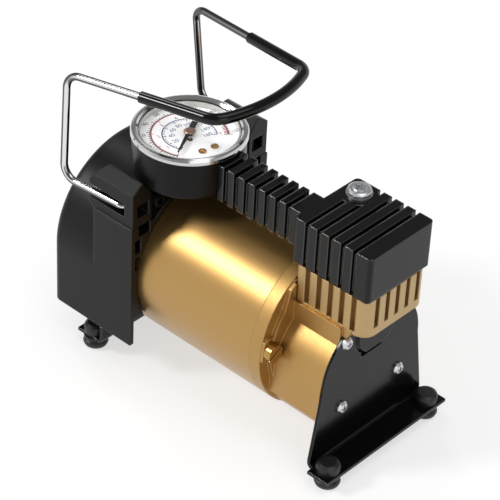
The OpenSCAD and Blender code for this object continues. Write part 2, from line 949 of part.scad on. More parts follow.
// The bent tube that straightens as the pressure rises, with its socket, link and geared movement
module bourdon_tube() {
    tube_z = gauge_base_z + 7;
    mid_r = gauge_r - 6.5;
    movement_z = dial_low_z - 7;
    color(brass) {
        difference() {
            union() {
                at_gauge(tube_z - 2)
                    rotate([0, 0, 10])
                        rotate_extrude(angle = 255)
                            translate([mid_r - 1, 0])
                                square([2, 4]);
                translate([arm_end_x - 9.5, gauge_y - 3.5, passage_z - 3])
                    cube([5, 9.5, 6]);
                // Link from the tube's free end to the movement
                at_gauge(movement_z - 1.2)
                    translate([-2.3, -mid_r - 0.6, 0])
                        cube([1.6, mid_r - 2, 1.4]);
                at_gauge(movement_z)
                    translate([-4, -6, 0])
                        cube([8, 12, 2.4]);
                // Post that carries the movement from the floor of the case
                at_gauge(gauge_base_z + case_wall_g)
                    translate([-3, -5, 0])
                        cube([6, 3, movement_z - gauge_base_z - case_wall_g + seat]);
            }
            bar_x(arm_end_x - 7, 8, passage_d / 2, gauge_y, passage_z);
            at_gauge(movement_z - cut)
                cylinder(r = 0.6 + fit, h = 5);
        }
    }
}

module gauge_stem() {
    color(brass)
    difference() {
        union() {
            bar_x(arm_end_x - 6.8, 12, passage_d / 2 - seat, gauge_y, passage_z);
            bar_x(arm_end_x - 4.4, 1.4, 3.2, gauge_y, passage_z);
        }
        bar_x(arm_end_x - 8, 16, 1, gauge_y, passage_z);
    }
}

// ---------- hose outlet ----------

outlet_r = 2.7;
outlet_len = 9;
outlet_bore_r = 1.6;
outlet_x = gauge_x - 9;
outlet_y = 5.2 - tower_in_y;
outlet_z = gauge_base_z - 9.6;

// Elbow under the gauge, with a barbed stub that points forward
module hose_outlet() {
    neck_r = 3;
    color(black)
    difference() {
        union() {
            translate([outlet_x, outlet_y, outlet_z])
                cylinder(r = neck_r, h = gauge_base_z - outlet_z);
            translate([outlet_x, outlet_y, outlet_z])
                sphere(r = neck_r);
            bar_x(outlet_x, outlet_len, outlet_r, outlet_y, outlet_z);
            for (i = [0 : 3])
                bar_x(outlet_x + 3.4 + i * 1.4, 0.8, outlet_r + 0.4, outlet_y, outlet_z);
        }
        bar_x(outlet_x, outlet_len + cut, outlet_bore_r, outlet_y, outlet_z);
        translate([outlet_x, outlet_y, outlet_z])
            cylinder(r = outlet_bore_r - 0.2, h = gauge_base_z - outlet_z - 1.5);
    }
}

// ---------- front bracket ----------

bend_r = 1.4;

// L-shaped section of a sheet bracket in the XZ plane: plate at x = 0, flange ahead of it
module bracket_section(flange, high) {
    square_x = sheet_t;
    translate([0, sheet_top_z - sheet_t + bend_r + sheet_t])
        square([square_x, high]);
    translate([bend_r + sheet_t, foot_sheet_z])
        square([flange - bend_r, sheet_t]);
    translate([bend_r + sheet_t, foot_sheet_z + bend_r + sheet_t])
        difference() {
            circle(bend_r + sheet_t);
            circle(bend_r);
            translate([0, -20])
                square([20, 40]);
            translate([-20, 0])
                square([40, 20]);
        }
}

dome_r = 12.6;
dome_out = 1.6;
dome_z = bracket_top_z - 4.4;

module front_plate_outline() {
    side_z = axis_z - 5;
    low_w = bracket_w / 2 - 3;
    intersection() {
        union() {
            translate([0, side_z])
                circle(shoulder_r);
            polygon([[-shoulder_r, side_z], [-low_w, foot_sheet_z + 4], [-low_w, 0], [low_w, 0],
                [low_w, foot_sheet_z + 4], [shoulder_r, side_z]]);
        }
        translate([-bracket_w, 0])
            square([2 * bracket_w, bracket_top_z]);
    }
}

module front_bracket() {
    color(black)
    difference() {
        union() {
            intersection() {
                translate([bracket_x, 0, 0])
                    along_y(2 * bracket_w)
                        bracket_section(bracket_flange, bracket_top_z);
                union() {
                    along_x(bracket_x - cut, sheet_t + bracket_flange + 2 * cut)
                        front_plate_outline();
                    // In front of the bend the flange is a little wider than the plate
                    translate([plate_front_x + bend_r, -bracket_w / 2, -cut])
                        cube([bracket_flange, bracket_w, sheet_top_z + 2 * cut]);
                }
            }
            // Pressed dome that clears the end of the crank pin
            intersection() {
                translate([plate_front_x, 0, dome_z])
                    rotate([0, 90, 0])
                        cylinder(r1 = dome_r, r2 = dome_r - 1.6, h = dome_out);
                translate([plate_front_x - cut, -dome_r, dome_z - dome_r])
                    cube([dome_out + 2 * cut, 2 * dome_r, bracket_top_z - dome_z + dome_r]);
            }
        }
        translate([bracket_x - cut, 0, dome_z])
            rotate([0, 90, 0])
                cylinder(r = dome_r - 2.6, h = dome_out + cut);
        // Air slot across the lower edge of the dome
        along_x(bracket_x - cut, 6)
            translate([-0.6, dome_z - dome_r + 1.7])
                rounded_square(14, 3.2, 1.5);
        bracket_screw_places()
            bar_x(bracket_x - cut, sheet_t + 2 * cut, screw_r + 0.2);
        both_sides()
            translate([front_foot_x, front_foot_y, 0])
                cylinder(r = foot_neck_r + seat, h = 20);
    }
}

module bracket_screws() {
    color(chrome)
    bracket_screw_places() {
        difference() {
            union() {
                bar_x(bracket_x - screw_len + 1, screw_len - 1 + sheet_t + seat, screw_r);
                translate([plate_front_x, 0, 0])
                    rotate([0, 90, 0])
                        rotate_extrude()
                            polygon([[0, 0], [pan_d / 2, 0], [pan_d / 2, 0.8], [pan_d / 2 - 0.8, 1.8], [0, 2.1]]);
            }
            for (a = [0, 90])
                rotate([a, 0, 0])
                    translate([plate_front_x + 1, -1.6, -0.3])
                        cube([3, 3.2, 0.6]);
        }
    }
}

module through_bolts() {
    head_t = 3.4;
    face_x = flange_front_x + lug_t;
    color(gold)
    through_bolt_places() {
        difference() {
            union() {
                bar_x(face_x, head_t, cheese_d / 2);
                bar_x(bell_rear_x + 0.5, face_x - bell_rear_x - 0.5 + seat, 2);
            }
            rotate([25, 0, 0])
                translate([face_x + head_t - 1.4, -cheese_d, -0.5])
                    cube([cut + 1.4, 2 * cheese_d, 1]);
        }
    }
}

// ---------- feet ----------

foot_neck_r = 2.9;

// Rubber grommet foot: button above the sheet, neck through it and a domed pad below
module rubber_foot() {
    r = foot_d / 2;
    rotate_extrude()
        polygon([[0, ground_z], [r - 1.9, ground_z], [r - 0.5, ground_z + 0.9], [r, ground_z + 2.2],
            [r - 0.3, ground_z + 3.3], [r - 1.1, foot_sheet_z - 1.9], [r - 0.3, foot_sheet_z - 1.2],
            [r - 0.3, foot_sheet_z], [foot_neck_r, foot_sheet_z], [foot_neck_r, sheet_top_z],
            [r - 0.4, sheet_top_z], [r - 0.4, sheet_top_z + button_h - 1.8],
            [r - 0.9, sheet_top_z + button_h - 0.7], [r - 2.1, sheet_top_z + button_h],
            [0, sheet_top_z + button_h]]);
}

module front_feet() {
    color(rubber)
    both_sides()
        translate([front_foot_x, front_foot_y, 0])
            rubber_foot();
}

module rear_feet() {
    color(rubber)
    both_sides()
        translate([rear_foot_x, rear_foot_y, 0])
            rubber_foot();
}

module rear_bracket_screw_places() {
    for (side = [-1, 1])
        translate([0, side * 24, axis_z - 22])
            children();
}

module rear_bracket() {
    color(black)
    difference() {
        intersection() {
            translate([bell_rear_x, 0, 0])
                mirror([1, 0, 0])
                    along_y(rear_bracket_w)
                        bracket_section(rear_flange, axis_z - sheet_top_z - bend_r);
            union() {
                translate([rear_plate_x - rear_flange - cut, -rear_bracket_w / 2, 0])
                    cube([rear_flange + 4, rear_bracket_w, shell_bottom_z - 0.8]);
                translate([rear_plate_x - rear_flange - cut, -shell_r + shell_wall + 3, 0])
                    cube([rear_flange + 6, 2 * (shell_r - shell_wall - 3), 80]);
            }
        }
        // Clearance round the rear bearing boss and the fan shaft
        bar_x(rear_plate_x - cut, sheet_t + 2 * cut, bearing_r + 3.5, 0, axis_z);
        rear_bracket_screw_places()
            bar_x(rear_plate_x - cut, sheet_t + 2 * cut, screw_r + 0.2);
        shell_screw_places()
            bar_x(rear_plate_x - cut, sheet_t + 2 * cut, screw_r + seat);
        both_sides()
            translate([rear_foot_x, rear_foot_y, 0])
                cylinder(r = foot_neck_r + seat, h = 20);
    }
}

module rear_bracket_screws() {
    color(chrome)
    rear_bracket_screw_places() {
        bar_x(rear_plate_x - seat, sheet_t + bell_t - 0.6, screw_r);
        translate([rear_plate_x, 0, 0])
            rotate([0, -90, 0])
                cylinder(r = pan_d / 2, h = 1.9);
    }
}

// ---------- motor ----------

module motor_can() {
    color(gold)
    difference() {
        bar_x(can_rear_x, can_len, can_r, 0, axis_z);
        bar_x(can_rear_x - cut, can_len + 2 * cut, can_in, 0, axis_z);
    }
}

core_x = seam_x - 11 - core_len;
magnet_arc = 130;

module field_magnets() {
    r = can_in - 0.05;
    color("#3c3f44")
    for (up = [0, 180])
        translate([core_x - 3, 0, axis_z])
            rotate([up, 0, 0])
                rotate([0, 90, 0])
                    rotate([0, 0, 180 - magnet_arc / 2])
                        rotate_extrude(angle = magnet_arc)
                            translate([magnet_r, 0])
                                square([r - magnet_r, core_len + 6]);
}

module motor_shaft() {
    color(steel)
    bar_x(shaft_rear_x, disc_x + disc_t - 0.2 - shaft_rear_x, shaft_r, 0, axis_z);
}

fan_hub_w = 9;
fan_x = rear_plate_x - 3 - fan_hub_w;
shaft_rear_x = fan_x - 1;

module armature_core() {
    color("#6d6f73")
    difference() {
        bar_x(core_x, core_len, core_r, 0, axis_z);
        bar_x(core_x - cut, core_len + 2 * cut, shaft_r + seat, 0, axis_z);
        for (i = [0 : slot_count - 1])
            translate([core_x - cut, 0, axis_z])
                rotate([i * 360 / slot_count, 0, 0]) {
                    bar_x(0, core_len + 2 * cut, 4, 0, core_r - 7);
                    translate([0, -1.3, core_r - 7])
                        cube([core_len + 2 * cut, 2.6, 9]);
                }
    }
}

module armature_winding() {
    end_w = 7;
    color("#a85a30")
    difference() {
        union() {
            for (i = [0 : slot_count - 1])
                translate([core_x - 1, 0, axis_z])
                    rotate([i * 360 / slot_count, 0, 0])
                        bar_x(0, core_len + 2, 4 - 0.1, 0, core_r - 7);
            for (x = [core_x - end_w, core_x + core_len])
                translate([x, 0, axis_z])
                    rotate([0, 90, 0])
                        rotate_extrude()
                            translate([shaft_r + 3, 0])
                                rounded_end(core_r - shaft_r - 6.2, end_w);
        }
    }
}

// Section of a bundle of end turns, square against the core and rounded outside
module rounded_end(w, h) {
    translate([w / 2, h / 2])
        rounded_square(w, h, 2);
}

commutator_x = core_x - 7 - 11;
commutator_w = 9;

module commutator() {
    color("#b87646")
    difference() {
        bar_x(commutator_x, commutator_w, commutator_d / 2, 0, axis_z);
        bar_x(commutator_x - cut, commutator_w + 2 * cut, shaft_r + seat, 0, axis_z);
        for (i = [0 : slot_count - 1])
            translate([commutator_x - cut, 0, axis_z])
                rotate([i * 360 / slot_count, 0, 0])
                    translate([0, -0.3, commutator_d / 2 - 1])
                        cube([commutator_w + 2 * cut, 0.6, 2]);
    }
}

brush_len = 9;

module brushes() {
    color("#2a2a2c")
    both_sides()
        translate([commutator_x + 1.5, commutator_d / 2 + 0.3, axis_z - 3])
            cube([6, brush_len, 6]);
}

module brush_plate() {
    plate_x = commutator_x - 3;
    color("#7a5a34")
    difference() {
        union() {
            bar_x(plate_x, 2, can_in - 0.2, 0, axis_z);
            both_sides()
                translate([plate_x, commutator_d / 2 + 2, axis_z - 4.6])
                    cube([10.5, brush_len, 9.2]);
        }
        bar_x(plate_x - cut, 4, commutator_d / 2 + 1, 0, axis_z);
        both_sides()
            translate([commutator_x + 1.5 - seat, commutator_d / 2, axis_z - 3 - seat])
                cube([6 + 2 * seat, brush_len + 4, 6 + 2 * seat]);
        through_bolt_places()
            bar_x(plate_x - cut, 4, 2 + loose);
    }
}

module end_bell() {
    boss = bearing_w + 1;
    color(black)
    difference() {
        union() {
            bar_x(bell_rear_x, bell_t, can_r, 0, axis_z);
            bar_x(can_rear_x - seat, 2.5, can_in - 0.1, 0, axis_z);
            bar_x(bell_rear_x, boss, bearing_r + 3, 0, axis_z);
        }
        bar_x(bell_rear_x + boss - bearing_w, bearing_w + cut, bearing_r + seat, 0, axis_z);
        bar_x(bell_rear_x - cut, boss + 2 * cut, shaft_r + 1.2, 0, axis_z);
        // Cooling holes
        for (i = [0 : 7])
            translate([bell_rear_x - cut, 0, axis_z])
                rotate([22.5 + i * 45, 0, 0])
                    bar_x(0, bell_t + 4, 4, 0, (can_in + bearing_r) / 2 + 1);
        through_bolt_places()
            bar_x(bell_rear_x + 0.5 - seat, bell_t + 4, 2 + seat);
        rear_bracket_screw_places()
            bar_x(bell_rear_x - cut, bell_t + cut, screw_r + seat);
    }
}

module ball_bearing(x) {
    difference() {
        bar_x(x, bearing_w, bearing_r, 0, axis_z);
        bar_x(x - cut, bearing_w + 2 * cut, shaft_r + fit, 0, axis_z);
        for (e = [x - cut, x + bearing_w - 0.6])
            along_x(e, 0.6 + cut)
                translate([0, axis_z])
                    ring(bearing_r - 2, shaft_r + 2);
    }
}

module front_bearing() {
    color(steel)
    ball_bearing(seam_x + 0.2);
}

module rear_bearing() {
    color(steel)
    ball_bearing(bell_rear_x + 1);
}

module cooling_fan() {
    hub_r = 9;
    color(plastic)
    difference() {
        union() {
            bar_x(fan_x, fan_hub_w, hub_r, 0, axis_z);
            bar_x(fan_x + fan_hub_w - 1.6, 1.6, fan_d / 2 - 6, 0, axis_z);
            intersection() {
                bar_x(fan_x, fan_hub_w, fan_d / 2, 0, axis_z);
                for (i = [0 : fan_blades - 1])
                    translate([fan_x + fan_hub_w / 2, 0, axis_z])
                        rotate([i * 360 / fan_blades, 0, 0])
                            rotate([0, 0, fan_pitch])
                                translate([-6, -0.7, hub_r - 1])
                                    cube([12, 1.4, fan_d / 2]);
            }
        }
        bar_x(fan_x - cut, fan_hub_w + 2 * cut, shaft_r + seat, 0, axis_z);
    }
}

fan_pitch = 38;

// ---------- rear shell ----------

module shell_profile(inset = 0, low = 0) {
    r = shell_r - inset;
    translate([0, arch_z])
        circle(r, $fn = 96);
    translate([-r, shell_bottom_z - low])
        square([2 * r, arch_z - shell_bottom_z + low]);
}

// Corners of the rounded rear rim: distance from the middle, distance from the rear face
function shell_rim(fillet) = [for (a = [90 : -15 : 0])
    [shell_r - fillet + fillet * cos(a), fillet - fillet * sin(a)]];

// Side view of a tower: rounded at the rear top, undercut where it hangs over the shoulder
module tower_side() {
    polygon([[tower_front_x, shelf_z - cut], [tower_front_x, tower_top_z], [tower_rear_x + 7, tower_top_z],
        [tower_rear_x + 2.6, tower_top_z - 4.2], [tower_rear_x + 0.6, tower_top_z - 7.4],
        [tower_rear_x, shelf_z + 2.4], [tower_rear_x + 3.4, shelf_z - 0.4], [tower_rear_x + 3.6, shelf_z - cut]]);
}

// End view of a tower, bevelled along both top edges; the inner bevel passes under the gauge
module tower_end() {
    polygon([[tower_in_y, arch_z + 20], [tower_in_y, tower_top_z - 7.5], [tower_in_y + 5.2, tower_top_z],
        [tower_out_y - 5.5, tower_top_z], [tower_out_y, tower_top_z - 4.2], [tower_out_y, arch_z + 20]]);
}

module tower() {
    intersection() {
        along_y(2 * shell_w)
            tower_side();
        along_x(tower_rear_x - cut, tower_len + 2 * cut)
            tower_end();
    }
}

module shell_screw_places() {
    for (side = [-1, 1])
        translate([0, side * (shell_r - 9), axis_z - 12])
            children();
}

module shell_body(fillet) {
    edge = concat(shell_rim(fillet), [[shell_r, shell_len]]);
    // Arch over the motor, with its rounded rear rim
    translate([shell_rear_x, 0, arch_z])
        rotate([90, 0, 90])
            rotate_extrude(angle = 180, $fn = 96)
                polygon(concat([[0, shell_len], [0, 0]], edge));
    // Straight sides below the arch, to the same outline
    translate([shell_rear_x, 0, shell_bottom_z])
        linear_extrude(arch_z - shell_bottom_z)
            polygon(concat([for (p = edge) [p[1], p[0]]],
                [for (i = [len(edge) - 1 : -1 : 0]) [edge[i][1], -edge[i][0]]]));
    // Shoulders and towers
    both_sides() {
        translate([shelf_rear_x, shell_r - 20, arch_z])
            cube([shelf_len, 20, shelf_z - arch_z]);
        tower();
    }
}

module rear_shell() {
    inner_r = shell_r - shell_wall;
    front_wall = 3;
    fillet = 4;
    color(plastic)
    difference() {
        union() {
            difference() {
                shell_body(fillet);
                // Hollow behind the front wall, open below
                along_x(shell_rear_x + shell_wall, shell_len - shell_wall - front_wall)
                    shell_profile(shell_wall, 20);
            }
            // Posts that take the shell's screws to the rear bracket
            shell_screw_places()
                bar_x(shell_rear_x + shell_wall - 0.5, rear_plate_x - shell_rear_x - shell_wall + 0.5, 3.2);
        }
        // Mouth for the motor can
        bar_x(shell_front_x - front_wall - cut, front_wall + 2 * cut, can_r + mouth_gap, 0, axis_z);
        // The front wall stops above the lower edge, between the side panels
        translate([shell_front_x - front_wall - cut, -inner_r, 0])
            cube([front_wall + 2 * cut, 2 * inner_r, 28.4]);
        // Cored pockets in the front of the shoulders
        both_sides()
            for (z = [shelf_z - 22.5, shelf_z - 13.5])
                translate([shell_front_x - 11, shell_r - shell_wall - 3.4, z])
                    cube([12, 3.4, 7.2]);
        both_sides()
            translate([shell_front_x - 14, shell_r - 11, shelf_z - 5])
                cube([15, 6.6, 5.4]);
        // Channel through each tower, open to the outside behind the pivot
        both_sides() {
            translate([tower_rear_x - cut, channel_in_y, channel_z])
                cube([tower_len + 2 * cut, channel_out_y - channel_in_y, slot_h]);
            translate([tower_rear_x - cut, channel_in_y, channel_z])
                cube([tower_len - 4.8 + cut, tower_w, slot_h]);
            // Pivot hole in the inner wall
            translate([pivot_x, tower_in_y - cut, pivot_z])
                rotate([-90, 0, 0])
                    cylinder(r = wire_r + fit, h = channel_in_y - tower_in_y + 2 * cut);
        }
        // Cooling slots in the rear wall
        for (i = [0 : 3])
            along_x(shell_rear_x - cut, shell_wall + 2 * cut)
                translate([0, axis_z + 24 + i * 4.2])
                    rounded_square(44 - i * 8, 1.9, 0.9);
        for (side = [-1, 1], i = [0 : 4])
            along_x(shell_rear_x - cut, shell_wall + 2 * cut)
                translate([side * 23, axis_z - 8 + i * 5])
                    rounded_square(16, 1.9, 0.9);
        // Openings for the switch and the cord gland
        translate([shell_rear_x - cut, -switch_w / 2, switch_z - switch_h / 2])
            cube([shell_wall + 2 * cut, switch_w, switch_h]);
        bar_x(shell_rear_x - cut, shell_wall + 2 * cut, gland_r + seat, 0, gland_z);
        shell_screw_places()
            bar_x(shell_rear_x - cut, rear_plate_x - shell_rear_x + 2 * cut, screw_r + 0.2);
    }
}

gland_r = 5;
cord_r = 2.75;

module cord_gland() {
    color(rubber)
    difference() {
        union() {
            bar_x(shell_rear_x - seat, shell_wall + 0.04, gland_r, 0, gland_z);
            bar_x(shell_rear_x + shell_wall, 2, gland_r + 1.6, 0, gland_z);
            translate([shell_rear_x - gland_out, 0, gland_z])
                rotate([0, 90, 0])
                    cylinder(r1 = gland_r - 0.8, r2 = gland_r + 1.4, h = gland_out);
        }
        bar_x(shell_rear_x - gland_out - cut, gland_out + shell_wall + 4, cord_r, 0, gland_z);
    }
}

module shell_screws() {
    color(chrome)
    shell_screw_places() {
        translate([shell_rear_x, 0, 0])
            rotate([0, -90, 0])
                cylinder(r = pan_d / 2, h = 1.8);
        bar_x(shell_rear_x - seat, rear_plate_x + sheet_t - 0.2 - shell_rear_x, screw_r);
    }
}

frame_t = 1.6;

module switch_frame() {
    body_deep = 12;
    color(black)
    difference() {
        union() {
            translate([shell_rear_x - frame_t, -switch_w / 2 - 1.6, switch_z - switch_h / 2 - 1.6])
                cube([frame_t, switch_w + 3.2, switch_h + 3.2]);
            translate([shell_rear_x - seat, -switch_w / 2 + 0.1, switch_z - switch_h / 2 + 0.1])
                cube([body_deep, switch_w - 0.2, switch_h - 0.2]);
        }
        translate([shell_rear_x - frame_t - cut, -switch_w / 2 + 1.4, switch_z - switch_h / 2 + 1.4])
            cube([7 + cut, switch_w - 2.8, switch_h - 2.8]);
        translate([rocker_x, 0, switch_z])
            rotate([90, 0, 0])
                cylinder(r = 1.2 + fit, h = switch_w - 0.8, center = true);
    }
}

rocker_x = shell_rear_x + 1;

module switch_rocker() {
    w = switch_w - 3.4;
    tilt = 9;
    half = switch_h / 2 - 2;
    color("#8e1f1a")
    translate([rocker_x, 0, switch_z]) {
        rotate([90, 0, 0])
            linear_extrude(w, center = true)
                polygon([[0, -half * 0.5], [-half * 0.2, -half + 0.4], [-3, -half + 0.2], [-2.2, 0],
                    [-3, half - 0.2], [-half * 0.2, half - 0.4], [0, half * 0.5]]);
        rotate([90, 0, 0])
            cylinder(r = 1.2, h = switch_w - 1.6, center = true);
    }
}

// ---------- handle ----------

handle_base_y = tower_in_y + 0.6;

function cross_z(x) = leg_top_z + cross_slope * (x - leg_top_x);

// One half of the handle's centre line, from the pivot to the front corner, on side s
function half_route(s) = [
    [pivot_x, s * handle_base_y, pivot_z],
    [pivot_x, s * lower_y, pivot_z],
    [leg_x, s * leg_low_y, pivot_z + leg_rise],
    [leg_top_x, s * leg_top_y, leg_top_z],
    [front_corner_x, s * cross_y, cross_z(front_corner_x)]];

function flip(list) = [for (i = [len(list) - 1 : -1 : 0]) list[i]];

bow_tip_x = front_corner_x + bow_rise;
bow_tip = [bow_tip_x, 0, cross_z(bow_tip_x)];
route_bends = [0, 3, 7, 7, 9, bow_r, 9, 7, 7, 3, 0];

module wire_handle() {
    color(chrome)
    bent_rod(concat(half_route(1), [bow_tip], flip(half_route(-1))), route_bends, wire_r);
}

module handle_grip() {
    grip_from = 0.51;
    a = half_route(1)[3];
    b = half_route(1)[4];
    start = a + (b - a) * grip_from;
    over = start - unit(b - a);
    bends = [0, 9, bow_r, 9, 0];
    color("#1b1a1b")
    difference() {
        bent_rod(grip_route(start), bends, grip_d / 2);
        bent_rod(grip_route(over), bends, wire_r + 0.03);
    }
}

// The stretch of the handle's centre line from p round to the same place on the other side
function grip_route(p) = [p, half_route(1)[4], bow_tip, half_route(-1)[4], [p.x, -p.y, p.z]];

// ---------- assembly ----------

module place() {
    translate([-origin_x, 0, -ground_z])
        children();
}

place() crankcase();
place() cylinder_block();
place() cylinder_liner();
place() piston();
place() piston_seal();
place() wrist_pin();
place() connecting_rod();
place() crank_disc();
place() head_gasket();
place() valve_plate();
place() reed_valve();
place() cylinder_head();
place() head_bolt();
place() head_washer();
place() gauge_case();
place() gauge_bezel();
place() gauge_ring();
place() gauge_lens();
place() gauge_dial();
place() gauge_needle();
place() needle_hub();
place() dial_screws();
place() bourdon_tube();
place() gauge_stem();
place() hose_outlet();
place() front_bracket();
place() bracket_screws();
place() through_bolts();
place() front_feet();
place() rear_feet();
place() rear_bracket();
place() rear_bracket_screws();
place() motor_can();
place() field_magnets();
place() motor_shaft();
place() armature_core();
place() armature_winding();
place() commutator();
place() brushes();
place() brush_plate();
place() end_bell();
place() front_bearing();
place() rear_bearing();
place() cooling_fan();
place() rear_shell();
place() shell_screws();
place() switch_frame();
place() switch_rocker();
place() cord_gland();
place() wire_handle();
place() handle_grip();
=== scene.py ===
import math

import bpy
from mathutils import Matrix, Vector


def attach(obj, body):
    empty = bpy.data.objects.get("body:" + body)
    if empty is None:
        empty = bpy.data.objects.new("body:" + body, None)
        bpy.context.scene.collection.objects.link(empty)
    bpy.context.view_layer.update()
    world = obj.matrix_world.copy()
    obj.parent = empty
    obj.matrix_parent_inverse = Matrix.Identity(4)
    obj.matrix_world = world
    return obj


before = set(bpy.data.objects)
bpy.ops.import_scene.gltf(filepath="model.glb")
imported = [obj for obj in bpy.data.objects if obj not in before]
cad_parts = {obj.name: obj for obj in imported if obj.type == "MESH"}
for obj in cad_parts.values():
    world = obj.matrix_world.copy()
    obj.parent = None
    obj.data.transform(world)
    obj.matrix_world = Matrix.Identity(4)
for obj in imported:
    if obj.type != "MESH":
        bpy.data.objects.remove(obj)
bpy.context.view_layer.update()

MM = 0.001
ORIGIN_X = -59.8  # the frame's origin, measured from the middle of the cylinder head
GROUND_Z = -1.5  # the ground, measured from the level that heights are given from


def at(x, y, z):
    """A point in millimetres from the middle of the cylinder head, as a point in the frame, in metres."""
    return Vector(((x - ORIGIN_X) * MM, y * MM, (z - GROUND_Z) * MM))


# ---------------------------------------------------------------- materials

NOISE_DETAIL = 4.0
EDGE_SAMPLES = 6
# How alike the true and the rounded normal are where an edge's own specular begins, and where it is full
EDGE_BEGINS, EDGE_FULL = 0.99, 0.90


def new_material(name, color, roughness, metallic=0.0, coat=0.0, coat_roughness=0.1, specular=0.5,
                 edge=0.0, glint=0.0):
    """edge is the radius, in millimetres, to which shading rounds sharp edges; glint is their specular."""
    material = bpy.data.materials.new(name)
    material.use_nodes = True
    nodes, links = material.node_tree.nodes, material.node_tree.links
    shader = nodes["Principled BSDF"]
    shader.inputs["Base Color"].default_value = (*color, 1.0)
    shader.inputs["Roughness"].default_value = roughness
    shader.inputs["Metallic"].default_value = metallic
    shader.inputs["Coat Weight"].default_value = coat
    shader.inputs["Coat Roughness"].default_value = coat_roughness
    shader.inputs["Specular IOR Level"].default_value = specular
    if edge:
        rounding = nodes.new("ShaderNodeBevel")
        rounding.name = "edge"
        rounding.samples = EDGE_SAMPLES
        rounding.inputs["Radius"].default_value = edge * MM
        links.new(rounding.outputs["Normal"], shader.inputs["Normal"])
        if coat:
            links.new(rounding.outputs["Normal"], shader.inputs["Coat Normal"])
    if edge and glint:
        surface = nodes.new("ShaderNodeNewGeometry")
        alike = nodes.new("ShaderNodeVectorMath")
        alike.operation = "DOT_PRODUCT"
        links.new(surface.outputs["Normal"], alike.inputs[0])
        links.new(rounding.outputs["Normal"], alike.inputs[1])
        share = nodes.new("ShaderNodeMapRange")
        share.inputs["From Min"].default_value = EDGE_BEGINS
        share.inputs["From Max"].default_value = EDGE_FULL
        share.inputs["To Min"].default_value = specular
        share.inputs["To Max"].default_value = glint
        links.new(alike.outputs["Value"], share.inputs["Value"])
        links.new(share.outputs["Result"], shader.inputs["Specular IOR Level"])
    return material


def add_texture(material, scale, stretch=(1.0, 1.0, 1.0), bump=0.0, bump_distance=0.0001, rough_range=None):
    """Noise in object space that drives bump and roughness."""
    nodes, links = material.node_tree.nodes, material.node_tree.links
    shader = nodes["Principled BSDF"]
    coordinates = nodes.new("ShaderNodeTexCoord")
    mapping = nodes.new("ShaderNodeMapping")
    mapping.inputs["Scale"].default_value = stretch
    noise = nodes.new("ShaderNodeTexNoise")
    noise.inputs["Scale"].default_value = scale
    noise.inputs["Detail"].default_value = NOISE_DETAIL
    links.new(coordinates.outputs["Object"], mapping.inputs["Vector"])
    links.new(mapping.outputs["Vector"], noise.inputs["Vector"])
    if bump:
        node = nodes.new("ShaderNodeBump")
        node.inputs["Strength"].default_value = bump
        node.inputs["Distance"].default_value = bump_distance
        links.new(noise.outputs["Fac"], node.inputs["Height"])
        if "edge" in nodes:
            links.new(nodes["edge"].outputs["Normal"], node.inputs["Normal"])
        links.new(node.outputs["Normal"], shader.inputs["Normal"])
    if rough_range:
        spread = nodes.new("ShaderNodeMapRange")
        spread.inputs["To Min"].default_value, spread.inputs["To Max"].default_value = rough_range
        links.new(noise.outputs["Fac"], spread.inputs["Value"])
        links.new(spread.outputs["Result"], shader.inputs["Roughness"])
    return material


def add_painted_reflections(material, painted_reflection_greys):
    """Painted reflections: base greys that stand in for reflected light and shade, following how far the
    surface turns away. Each is a place from 0 to 1 and its grey.
    """
    nodes, links = material.node_tree.nodes, material.node_tree.links
    facing = nodes.new("ShaderNodeLayerWeight")
    facing.inputs["Blend"].default_value = 0.5
    ramp = nodes.new("ShaderNodeValToRGB")
    elements = ramp.color_ramp.elements
    for index, (place, grey) in enumerate(painted_reflection_greys):
        element = elements[index] if index < 2 else elements.new(place)
        element.position = place
        element.color = (grey, grey, grey * 1.01, 1.0)
    links.new(facing.outputs["Facing"], ramp.inputs["Fac"])
    links.new(ramp.outputs["Color"], nodes["Principled BSDF"].inputs["Base Color"])
    return material


def make_clear(material, ior):
    """Glass that lets the lamps' light through without a shadow."""
    nodes, links = material.node_tree.nodes, material.node_tree.links
    shader = nodes["Principled BSDF"]
    shader.inputs["Transmission Weight"].default_value = 1.0
    shader.inputs["IOR"].default_value = ior
    path = nodes.new("ShaderNodeLightPath")
    clear = nodes.new("ShaderNodeBsdfTransparent")
    mix = nodes.new("ShaderNodeMixShader")
    links.new(path.outputs["Is Shadow Ray"], mix.inputs[0])
    links.new(shader.outputs[0], mix.inputs[1])
    links.new(clear.outputs[0], mix.inputs[2])
    links.new(mix.outputs[0], nodes["Material Output"].inputs["Surface"])
    return material


GOLD = (0.46, 0.27, 0.08)
GOLD_PALE = (0.50, 0.34, 0.15)
BLACK = (0.004, 0.0037, 0.0037)
# Painted reflections for the chrome wire: places on the facing ramp and their greys
CHROME_PAINTED_REFLECTIONS = ((0.0, 0.30), (0.06, 0.22), (0.13, 0.74), (0.24, 0.74), (0.34, 0.10), (1.0, 0.06))

# Painted and cast metal
gold_can = add_texture(
    new_material("gold_can", GOLD, 0.35, 0.9, coat=0.5, coat_roughness=0.35, edge=0.3),
    1600, bump=0.06, bump_distance=0.00003, rough_range=(0.31, 0.39))
gold_cast = add_texture(
    new_material("gold_cast", GOLD, 0.42, 0.9, coat=0.4, coat_roughness=0.4, edge=0.6),
    700, bump=0.2, bump_distance=0.00008, rough_range=(0.38, 0.48))
gold_fins = add_texture(
    new_material("gold_fins", GOLD_PALE, 0.4, 0.8, coat=0.4, coat_roughness=0.35, edge=0.8),
    600, bump=0.2, bump_distance=0.00008, rough_range=(0.34, 0.46))
gold_bolt = new_material("gold_bolt", GOLD, 0.26, 0.95, edge=0.5)
black_cast = add_texture(
    new_material("black_cast", BLACK, 0.17, specular=0.27, edge=1.0, glint=1.0),
    900, bump=0.08, bump_distance=0.00005, rough_range=(0.13, 0.20))
black_sheet = add_texture(
    new_material("black_sheet", (0.004, 0.004, 0.004), 0.15, specular=0.20, edge=0.6, glint=0.9),
    700, bump=0.05, bump_distance=0.00005, rough_range=(0.13, 0.21))

